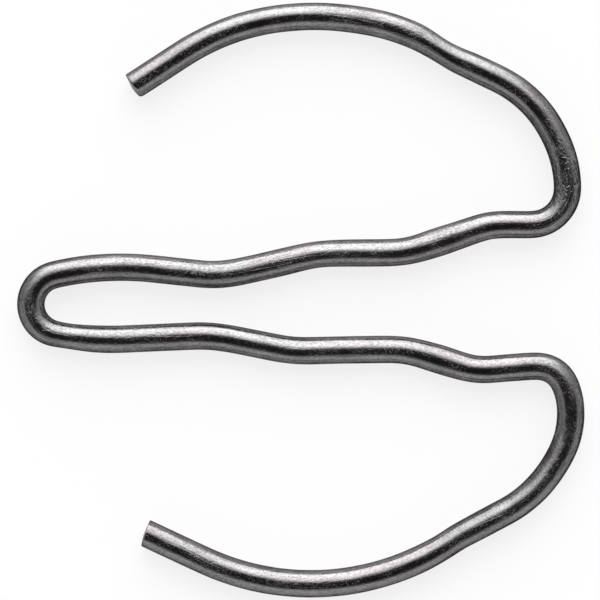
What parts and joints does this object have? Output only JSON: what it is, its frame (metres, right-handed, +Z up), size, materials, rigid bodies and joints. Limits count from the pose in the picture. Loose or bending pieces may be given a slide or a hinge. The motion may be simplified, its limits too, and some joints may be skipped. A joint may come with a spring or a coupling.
{
  "type": "socket retaining ring",
  "caption": "Flat ring bent from round spring wire: a wavy hairpin for a socket's cross hole and curved arms that snap into the groove round it.",
  "frame": {"origin": "middle of the ring's outline, on the surface that it lies on", "axes": "+X along the hairpin from its nose towards its open mouth, +Y across the two arms, +Z up, square to the plane of the ring"},
  "size_m": [0.0554, 0.0582, 0.0027],
  "materials": {
    "spring_steel": "bright drawn spring wire, lightly oiled, dark grey with fine speckle and forming marks"
  },
  "bodies": {
    "root": {"retaining_ring": "spring_steel"}
  },
  "joints": []
}
